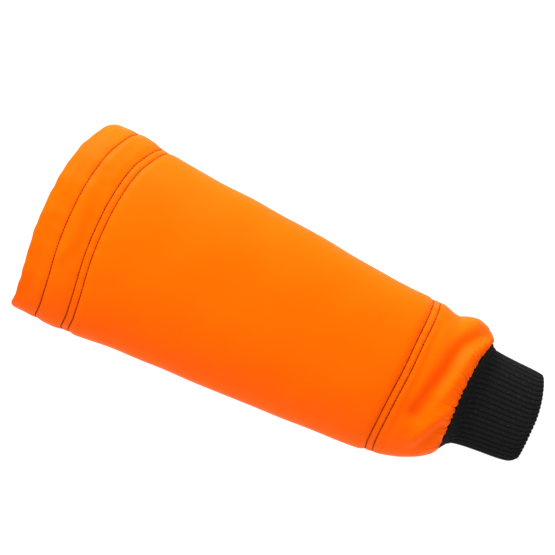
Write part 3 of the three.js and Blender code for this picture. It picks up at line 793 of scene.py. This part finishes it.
class OVERSLEEVE_OT_shell(bpy.types.Operator):
    """Makes the padded polyester sleeve, with its folds, gathers and stitch rows sunk into the
    padding.
    """
    bl_idname = "oversleeve.shell"
    bl_label = "Sleeve"

    outer_runs = (
        (-252.2, -229, 12), (-229, -225, 6), (-225, -203, 10), (-203, -190.8, 17),
        (-190.8, -165, 9), (-165, 100, 40), (100, 108.6, 6), (108.6, 120.4, 16),
        (120.4, 160, 34), (160, 171.4, 13),
    )
    inner_runs = ((171, 120, 16), (120, -180, 16), (-180, -222, 5), (-222, -252.2, 9))

    def execute(self, context):
        count = context.scene.sleeve_settings.around
        outer = station_list(self.outer_runs)
        inner = station_list(self.inner_runs)
        stations = np.concatenate([outer, [171.8, SEAM_X, 171.8], inner, [-252.8, HEM_X, -252.8]])
        wall = look_up(WALL, "t", stations) + CASING_PLY * (1 - smooth_step(-226.4, -225.4, stations))
        rolled = 0.5 * np.exp(-np.maximum(SEAM_X - outer, 0) / 1.6)
        inset = np.concatenate([rolled, [0.35, 1.0, 1.65], wall[len(outer) + 3:-3], [2.2, 1.4, 0.6]])
        grid, station, share, lengths, relief = sleeve_points(stations, even_shares(count), inset)
        u = share * lengths[:, None]
        v = station + np.where(np.arange(len(stations)) > len(outer), 500, 0)[:, None]
        across = np.abs(from_back_seam(share, lengths))
        # mask of painted shade along the stitch rows, the back seam and the rows beside it
        pressed = sum(np.exp(-((station - row) / 0.9) ** 2) for row in ROWS["x"])
        pressed += np.exp(-((across - BACK_ROW_OFFSET) / 1.2) ** 2) + np.exp(-(across / 1.2) ** 2)
        piece = loop_mesh("padded_sleeve", grid, u, v)
        # the valley value drives painted shade in the fold valleys of the polyester's colour
        point_value(piece, "valley", np.clip(-relief / 6, 0, 1))
        point_value(piece, "pressed", np.clip(pressed, 0, 1))
        fit_piece(piece, "satin_polyester", "sleeve_shell")
        return {"FINISHED"}


class OVERSLEEVE_OT_knit_cuff(bpy.types.Operator):
    """Makes the doubled rib-knit cuff, flared where it is sewn to the sleeve."""
    bl_idname = "oversleeve.knit_cuff"
    bl_label = "Knit cuff"

    outer_runs = ((CUFF_START_X + 0.8, 180, 12), (180, 190, 10), (190, 236, 22), (236, 249.4, 16))
    inner_runs = ((249.4, 190, 14), (190, CUFF_START_X + 1, 8))

    def execute(self, context):
        settings = context.scene.cuff_settings
        outer = station_list(self.outer_runs)
        inner = station_list(self.inner_runs)
        stations = np.concatenate([
            [CUFF_START_X, CUFF_START_X + 0.3], outer, [250.3, 250.8, CUFF_END_X, 250.8, 250.3],
            inner, [CUFF_START_X + 0.3],
        ])
        wall = settings.wall / MM
        inset = np.concatenate([
            [1.9, 0.9], np.zeros(len(outer)), [0.35, 0.9, wall / 2, wall - 0.9, wall - 0.35],
            np.full(len(inner), wall), [wall - 0.9],
        ])
        grid, station, share, lengths = bare_grid(stations, even_shares(settings.ribs * 10))
        across = np.abs(2 * ((share * settings.ribs) % 1) - 1)
        crown = 1 - across ** 5
        reach = smooth_step(CUFF_START_X + 5, 186, station) * 0.94 + 0.06
        depth = settings.rib_depth / MM * reach
        outside = inset[:, None] < 0.5
        fade = np.where(inset[:, None] < wall - 0.5, 1, 0.4)
        side = smooth_step(0.0, 0.12, grid[..., 2] / look_up(TOP, "z", station))
        relief = depth * fade * (crown - 0.75 - 0.25 * (1 - side))
        relief += 0.5 * np.exp(-((station - 182) / 1.2) ** 2) * side * outside
        moved = grid + outward(grid) * (relief - inset[:, None])[..., None]
        moved[..., 2] = np.maximum(moved[..., 2], 0)
        moved[..., 0] += 0.9 * smooth_step(246, CUFF_END_X, station) * (crown - 0.8)
        v = station + np.where(outside, 0, 300)
        piece = loop_mesh("rib_knit_cuff", moved, share * lengths[:, None], v)
        # the groove value also drives painted shade between the ribs in the knit's colour
        point_value(piece, "groove", 1 - crown)
        fit_piece(piece, "black_rib_knit", "knit_cuff")
        return {"FINISHED"}


def primitive(add, **setup):
    """Adds a primitive with its place, turn and scale applied."""
    bpy.ops.object.select_all(action="DESELECT")
    add(**setup)
    bpy.ops.object.transform_apply(location=True, rotation=True, scale=True)
    return bpy.context.object


def stitch_shape(length, thread):
    """Points and faces of one short, round-ended stitch along X, made from a sphere."""
    seed = primitive(bpy.ops.mesh.primitive_uv_sphere_add, segments=8, ring_count=6, radius=0.5,
                     rotation=(0, math.pi / 2, 0))
    points = np.array([v.co for v in seed.data.vertices])
    faces = sorted(tuple(p.vertices) for p in seed.data.polygons)
    bpy.data.objects.remove(seed)
    points[:, 0] = np.sign(points[:, 0]) * np.abs(points[:, 0] * 2) ** 0.6 / 2
    return points * (length, thread, thread), faces


def stitches(name, finish, length, thread, middle, along, up, *nodes):
    """One piece of equal stitches, each at its place, along its direction and with its up side."""
    shape, faces = stitch_shape(length, thread)
    along = unit(along)
    side = unit(np.cross(up, along))
    points = middle[:, None] + shape @ np.stack([along, side, np.cross(along, side)], axis=1)
    starts = range(0, len(middle) * len(shape), len(shape))
    all_faces = [tuple(start + i for i in face) for start in starts for face in faces]
    fit_piece(smooth_piece(name, points.reshape(-1, 3), all_faces), finish, *nodes)


def stitch_rows(name, lines, finish, spread=0.0):
    """One piece of stitches along lines of (points, outward directions), all in metres."""
    settings = bpy.context.scene.stitch_settings
    middles, alongs, ups = [], [], []
    for path, out in lines:
        run = run_along(path)
        number = max(1, int(run[-1] / settings.pitch))
        places = (np.arange(number) + 0.5 + spread) * run[-1] / (number + spread)
        near, far = (points_at(places + shift * MM, run, path) for shift in (-0.1, 0.1))
        middles.append(points_at(places, run, path))
        alongs.append(far - near)
        ups.append(points_at(places, run, out))
    stitches(name, finish, settings.length, settings.thread,
             np.concatenate(middles), np.concatenate(alongs), np.concatenate(ups))


def over_cloth(points, out, rise=THREAD_RISE):
    """Line for thread on the cloth, in metres, with its outward directions."""
    line = (points + out * rise) * MM
    line[:, 2] = np.maximum(line[:, 2], THREAD_LOWEST * MM)
    return line, out


def ring_line(station, rise=THREAD_RISE):
    """Line round the sleeve's outer cloth at a station."""
    near = [station - 0.4, station, station + 0.4]
    grid = sleeve_points(near, even_shares(720), [0, 0, 0])[0]
    line, out = over_cloth(grid[1], outward(grid)[1], rise)
    return np.concatenate([line, line[:1]]), np.concatenate([out, out[:1]])


def back_line(offset):
    """Line along the back at a distance from the centre seam."""
    stations = np.linspace(HEM_X + 1.5, SEAM_X - 1.5, 300)
    grid = sleeve_points(
        stations, lambda length: (offset + np.array((-0.8, 0, 0.8))) / length, np.zeros(300))[0]
    return over_cloth(grid[:, 1], outward(grid)[:, 1])


class OVERSLEEVE_OT_stitching(bpy.types.Operator):
    """Makes the topstitching: the casing row, the two double rows and the back seam's rows."""
    bl_idname = "oversleeve.stitching"
    bl_label = "Stitching"

    def execute(self, context):
        groups = {
            "casing_stitching": [ring_line(CASING_ROW_X)],
            "hem_stitching": [ring_line(row) for row in HEM_ROWS_X],
            "wrist_stitching": [ring_line(row) for row in WRIST_ROWS_X],
            "back_seam_stitching": [back_line(side * BACK_ROW_OFFSET) for side in (-1, 1)],
        }
        for name, lines in groups.items():
            stitch_rows(name, lines, "dark_topstitch")
        line, out = ring_line(CASING_ROW_X + 0.35, 0.3)
        overlap = np.arange(-40, 96) % (len(line) - 1)
        stitch_rows("casing_overlap_stitching", [(line[overlap], out[overlap])], "black_thread", 0.5)
        return {"FINISHED"}


def smooth_route(points, spacing):
    """Centripetal curve through given points, sampled at an even spacing, in metres."""
    p = np.array(points, float)
    p = np.concatenate([[2 * p[0] - p[1]], p, [2 * p[-1] - p[-2]]])
    made = []
    for a, b, c, d in zip(p, p[1:], p[2:], p[3:]):
        before, step, after = (np.linalg.norm(e) ** 0.5 for e in (b - a, c - b, d - c))
        start = (b - a) / before - (c - a) / (before + step) + (c - b) / step
        end = (c - b) / step - (d - b) / (step + after) + (d - c) / after
        for u in np.linspace(0, 1, 12, endpoint=False):
            made.append(hermite(u, b, c, step * start, step * end))
    line = np.array([*made, p[-2]])
    run = run_along(line)
    number = max(2, int(round(run[-1] / spacing)))
    return points_at(np.linspace(0, run[-1], number + 1), run, line), run[-1]


def swept_mesh(name, line, section, around, side):
    """Closed sweep of a section along a line, with a UV map that runs along it in metres."""
    tangent = unit(np.gradient(line, axis=0))
    rings = []
    for p, t in zip(line, tangent):
        side = unit(side - t * (side @ t))
        rings.append(p + np.outer(section[:, 0], side) + np.outer(section[:, 1], np.cross(t, side)))
    rows, sides = len(line), len(section)
    faces = ring_faces(rows - 1, rows, sides)
    for c in range(sides):
        d = (c + 1) % sides
        faces.append((rows * sides, d, c))
        faces.append((rows * sides + 1, (rows - 1) * sides + c, (rows - 1) * sides + d))
    piece = smooth_piece(name, np.concatenate([*rings, line[:1], line[-1:]]), faces)
    set_uv(piece, around, run_along(line)[:, None], [(0, 0), (0.1, 0), (0.1, 0.001)] * 2 * sides)
    return piece


def tube_mesh(name, line, radius, sides=16):
    """Round closed tube along a line."""
    angle = TAU * np.arange(sides) / sides
    section = radius * np.stack([np.cos(angle), np.sin(angle)], axis=1)
    first = np.cross(line[1] - line[0], (0.3, 0.2, 1.0))
    return swept_mesh(name, line, section, np.arange(sides + 1) / sides, first)


def band_mesh(name, line, width, thickness):
    """Flat band with rounded edges along a line in the XZ plane."""
    edge = thickness / 2
    flat = np.linspace(-1, 1, 9)[1:-1] * (width / 2 - edge)
    angle = np.linspace(-math.pi / 2, math.pi / 2, 7)
    turn = np.stack([width / 2 - edge + edge * np.cos(angle), edge * np.sin(angle)], axis=1)
    top = np.stack([flat[::-1], np.full(7, edge)], axis=1)
    section = np.concatenate([turn, top, -turn, -top])
    around = np.concatenate([section[:, 0], section[:1, 0]])
    return swept_mesh(name, line, section, around, np.array((0.0, 1.0, 0.0)))


def overhand_knot():
    """Overhand knot: turns of cord wound slantwise round the strands."""
    axis = unit(np.array((1.0, -0.25, 0.0)))
    side = np.array((-axis[1], axis[0], 0.0))
    t = np.linspace(0, 1, 90)
    turns = TAU * 2.6 * t
    line = (KNOT_CENTRE + np.outer((t - 0.5) * 5.2, axis) + np.outer(np.cos(turns) * 2.6, side)
            + np.outer(np.sin(turns) * 2.6 * 0.95, (0, 0, 1))) * MM
    piece = tube_mesh("overhand_knot", line, CORD_DIAMETER / 2 * 0.96 * MM)
    fit_piece(piece, "black_braid", "cord_knot")
    return piece


class OVERSLEEVE_OT_drawcords(bpy.types.Operator):
    """Makes the two elastic cords from the eyelets through the lock and the knot to their ends."""
    bl_idname = "oversleeve.drawcords"
    bl_label = "Drawcords"

    def execute(self, context):
        knot = overhand_knot()
        routes = (("left", DRAWCORD_LEFT, TAIL_LEFT), ("right", DRAWCORD_RIGHT, TAIL_RIGHT))
        for side, cord, tail in routes:
            route = np.array([*cord, KNOT_CENTRE, *tail]) * MM
            line, length = smooth_route(route, 1.2 * MM)
            piece = tube_mesh(f"elastic_drawcord_{side}", line, CORD_DIAMETER / 2 * MM)
            fit_piece(piece, "black_braid", f"drawcord_{side}", f"cord_tail_{side}")
        return {"FINISHED"}


def slot_path(centre):
    """Evenly spaced points round a rounded slot along Y, and their directions away from it."""
    straight, radius = EYELET_STRAIGHT / 2, EYELET_RADIUS
    angle = np.linspace(0, math.pi, 24)
    arc = np.stack([np.cos(angle), np.sin(angle)], axis=1) * radius
    loop = np.concatenate([arc + (0, straight), -arc - (0, straight)])
    loop = np.concatenate([loop, loop[:1]])
    run = run_along(loop)
    flat = points_at(even_shares(EYELET_STITCHES) * run[-1], run, loop)
    spine = np.stack([flat[:, 0] * 0, np.clip(flat[:, 1], -straight, straight)], axis=1)
    return centre + np.pad(flat, ((0, 0), (0, 1))), np.pad(flat - spine, ((0, 0), (0, 1)))


class OVERSLEEVE_OT_eyelets(bpy.types.Operator):
    """Makes the two long stitched eyelets in the hem, where the drawcord comes out."""
    bl_idname = "oversleeve.eyelets"
    bl_label = "Eyelets"

    def execute(self, context):
        for side, name in ((1, "left"), (-1, "right")):
            centre = np.array((EYELET_PLACE[0], side * EYELET_PLACE[1], EYELET_PLACE[2]))
            line, out = slot_path(centre)
            loop = np.concatenate([line, line[:2]]) * MM
            fit_piece(tube_mesh(f"eyelet_core_{name}", loop, 0.7 * MM, 8), "black_thread")
            down = np.tile((0.0, 0.0, -1.0), (len(line), 1))
            stitches(f"buttonhole_eyelet_{name}", "black_thread", 1.9 * MM, 0.62 * MM,
                     (line + down * 0.35) * MM, out, down, f"eyelet_{name}")
        return {"FINISHED"}


def tab_path():
    """Middle of the band: over the hem's edge, round the bar and back under its own start."""
    half = TAB_LAYER / 2 + 0.05
    bar_x = BAR_PLACE[0]

    def arc(centre, radius, start, end, steps):
        angles = np.radians(np.linspace(start, end, steps))
        return [(centre[0] + radius * math.cos(a), centre[1] + radius * math.sin(a))
                for a in angles]

    outer, inner = TAB_BEND + half, TAB_BEND - half
    under = TAB_FOLD[1] - TAB_BEND - 0.6
    return [(TAB_SEWN_X, TAB_FOLD[1] + outer), *arc(TAB_FOLD, outer, 90, 270, 9),
            (bar_x - 6, under - half), *arc(BAR_PLACE, BAR_RADIUS + 0.3 + half, -120, 105, 12),
            (bar_x - 6, under + half), *arc(TAB_FOLD, inner, 270, 90, 9),
            (TAB_SEWN_X, TAB_FOLD[1] + inner)]


def bartacks():
    """Two dense tacks that hold the tab, one on the hem's inside and one under it."""
    y = np.arange(-4.1, 4.2, 0.55)
    places = ((-241.6, TAB_FOLD[1] + TAB_BEND + TAB_LAYER + 0.1),
              (-243.4, TAB_FOLD[1] - TAB_BEND - TAB_LAYER - 0.38))
    middle = np.concatenate([np.stack([y * 0 + x, y, y * 0 + z], axis=1) for x, z in places])
    slant = np.where(np.arange(len(middle)) % 2, 0.12, -0.12)
    along = np.stack([slant * 0 + 1, slant, slant * 0], axis=1)
    up = np.repeat([(0.0, 0.0, 1.0), (0.0, 0.0, -1.0)], len(y), axis=0)
    stitches("tab_bartacks", "black_thread", 2.6 * MM, 0.6 * MM, middle * MM, along, up)


class OVERSLEEVE_OT_tab(bpy.types.Operator):
    """Makes the doubled webbing tab, round the hem's edge and the bar of the cord lock."""
    bl_idname = "oversleeve.tab"
    bl_label = "Webbing tab"

    def execute(self, context):
        points = [(x * MM, 0.0, z * MM) for x, z in tab_path()]
        line, _ = smooth_route(points, 0.5 * MM)
        piece = band_mesh("webbing_tab", line, TAB_WIDTH * MM, TAB_LAYER * MM)
        fit_piece(piece, "black_webbing", "cord_tab")
        bartacks()
        return {"FINISHED"}


def work_on(piece):
    bpy.ops.object.select_all(action="DESELECT")
    piece.select_set(True)
    bpy.context.view_layer.objects.active = piece


def select_where(piece, elements, test):
    """Enters edit mode with those edges or faces selected whose corners all pass a test."""
    work_on(piece)
    bpy.ops.object.mode_set(mode="EDIT")
    bpy.ops.mesh.select_mode(type="EDGE" if elements == "edges" else "FACE")
    bpy.ops.mesh.select_all(action="DESELECT")
    bpy.ops.object.mode_set(mode="OBJECT")
    places = [v.co / MM for v in piece.data.vertices]
    for element in getattr(piece.data, elements):
        element.select = all(test(places[i]) for i in element.vertices)
    bpy.ops.object.mode_set(mode="EDIT")


def round_edges(piece, rim, segments, test):
    """Bevels the edges whose corners all pass a test."""
    select_where(piece, "edges", test)
    bpy.ops.mesh.bevel(offset=rim * MM, segments=segments, profile=0.5, affect="EDGES")
    bpy.ops.object.mode_set(mode="OBJECT")
    return piece


def cross_cylinder(radius, start, end, place, rim=0.0, sides=64):
    """Cylinder along Y with rounded rims, in millimetres."""
    piece = primitive(
        bpy.ops.mesh.primitive_cylinder_add, vertices=sides, radius=radius * MM,
        depth=(end - start) * MM, rotation=(math.pi / 2, 0, 0),
        location=(place[0] * MM, (start + end) / 2 * MM, place[1] * MM))
    if rim:
        round_edges(piece, rim, 4, lambda p: min(abs(p.y - start), abs(p.y - end)) < 1e-3)
    return piece


def rounded_block(low, high, rim, turn=0.0):
    """Block between two corners with rounded edges, turned about Y through its middle."""
    low, high = np.array(low), np.array(high)
    piece = primitive(
        bpy.ops.mesh.primitive_cube_add, size=1, location=(low + high) / 2 * MM,
        rotation=(0, turn, 0), scale=(high - low) * MM)
    return round_edges(piece, rim, 3, lambda p: True)


def dish_end(piece, y, thickness, depth):
    """Sinks the middle of the end face at y, and rounds the edge of the dish."""
    select_where(piece, "polygons", lambda p: abs(p.y - y) < 1e-3)
    bpy.ops.mesh.inset(thickness=thickness * MM, depth=0)
    bpy.ops.mesh.inset(thickness=depth * MM, depth=-depth * MM)
    bpy.ops.object.mode_set(mode="OBJECT")


def combine(piece, other, operation):
    """Joins another closed shape to a piece, or cuts it out of it, and removes the other."""
    work_on(piece)
    modifier = piece.modifiers.new("combine", "BOOLEAN")
    modifier.operation = operation
    modifier.object = other
    modifier.solver = "FAST"
    bpy.ops.object.modifier_apply(modifier=modifier.name)
    bpy.data.objects.remove(other)


def moulded(piece, name, node, body):
    """Names and shades a moulded part and puts it in place of its node."""
    piece.name = name
    work_on(piece)
    bpy.ops.object.shade_smooth_by_angle(angle=math.radians(35))
    fit_piece(piece, "moulded_plastic", node, body=body)


def cord_slot(shift):
    reach, half = LOCK_RADIUS + 1, LOCK_SLOT_HEIGHT / 2
    low = (LOCK_PLACE[0] - reach, LOCK_SLOT[0] + shift, LOCK_PLACE[1] - half)
    high = (LOCK_PLACE[0] + reach, LOCK_SLOT[1] + shift, LOCK_PLACE[1] + half)
    return rounded_block(low, high, 0.6)


def lock_barrel():
    barrel = cross_cylinder(LOCK_RADIUS, LOCK_CLOSED_END, LOCK_OPEN_END, LOCK_PLACE, 0.9)
    dish_end(barrel, LOCK_CLOSED_END, 2.2, 0.35)
    bar_end = BAR_CLEAR + BAR_LUG
    combine(barrel, cross_cylinder(BAR_RADIUS, -bar_end, bar_end, BAR_PLACE, 0.4, 32), "UNION")
    x, z = (np.array(LOCK_PLACE) + BAR_PLACE) / 2
    away, drop = LOCK_PLACE[0] - BAR_PLACE[0], BAR_PLACE[1] - LOCK_PLACE[1]
    half = math.hypot(away, drop) / 2
    for side in (-1, 1):
        y = side * (BAR_CLEAR + BAR_LUG / 2)
        low = (x - half, y - BAR_LUG / 2, z - BAR_RADIUS)
        high = (x + half, y + BAR_LUG / 2, z + BAR_RADIUS)
        combine(barrel, rounded_block(low, high, 0.35, math.atan2(drop, away)), "UNION")
    bore = cross_cylinder(
        LOCK_RADIUS - LOCK_WALL, LOCK_CLOSED_END + LOCK_FLOOR, LOCK_OPEN_END + 1, LOCK_PLACE)
    combine(barrel, bore, "DIFFERENCE")
    combine(barrel, cord_slot(0), "DIFFERENCE")
    moulded(barrel, "moulded_barrel", "cord_lock_barrel", BODY)


def lock_button():
    radius = LOCK_RADIUS - LOCK_WALL - LOCK_GAP
    button = cross_cylinder(radius, BUTTON_INNER_END, BUTTON_REACH, LOCK_PLACE, 0.9)
    dish_end(button, BUTTON_REACH, 0.7, 0.5)
    combine(button, cord_slot(BUTTON_TRAVEL), "DIFFERENCE")
    moulded(button, "moulded_button", "cord_lock_button", BUTTON_BODY)


class OVERSLEEVE_OT_cord_lock(bpy.types.Operator):
    """Makes the barrel of the cord lock with its bar, and its sprung button."""
    bl_idname = "oversleeve.cord_lock"
    bl_label = "Cord lock"

    def execute(self, context):
        lock_barrel()
        lock_button()
        return {"FINISHED"}


class OVERSLEEVE_PT_panel(bpy.types.Panel):
    """Lists the sleeve's settings and the steps that build it."""
    bl_label = "Oversleeve"
    bl_idname = "OVERSLEEVE_PT_panel"
    bl_space_type = "VIEW_3D"
    bl_region_type = "UI"
    bl_category = "Oversleeve"

    def draw(self, context):
        for group in SETTINGS:
            settings = getattr(context.scene, group)
            for key in settings.__annotations__:
                self.layout.prop(settings, key)
        for step in STEPS:
            self.layout.operator(step)


SETTINGS = {
    "finish_settings": FinishSettings,
    "sleeve_settings": SleeveSettings,
    "stitch_settings": StitchSettings,
    "cuff_settings": CuffSettings,
    "stage_settings": StageSettings,
}
OPERATORS = [
    OVERSLEEVE_OT_stage,
    OVERSLEEVE_OT_drawcords,
    OVERSLEEVE_OT_shell,
    OVERSLEEVE_OT_stitching,
    OVERSLEEVE_OT_knit_cuff,
    OVERSLEEVE_OT_eyelets,
    OVERSLEEVE_OT_tab,
    OVERSLEEVE_OT_cord_lock,
]
STEPS = [operator.bl_idname for operator in OPERATORS]
CLASSES = [*SETTINGS.values(), *OPERATORS, OVERSLEEVE_PT_panel]


def register():
    for cls in CLASSES:
        bpy.utils.register_class(cls)
    for name, group in SETTINGS.items():
        setattr(bpy.types.Scene, name, bpy.props.PointerProperty(type=group))


def unregister():
    for name in SETTINGS:
        delattr(bpy.types.Scene, name)
    for cls in reversed(CLASSES):
        bpy.utils.unregister_class(cls)


def main():
    register()
    for step in STEPS:
        group, name = step.split(".")
        getattr(getattr(bpy.ops, group), name)()


if __name__ == "__main__":
    main()
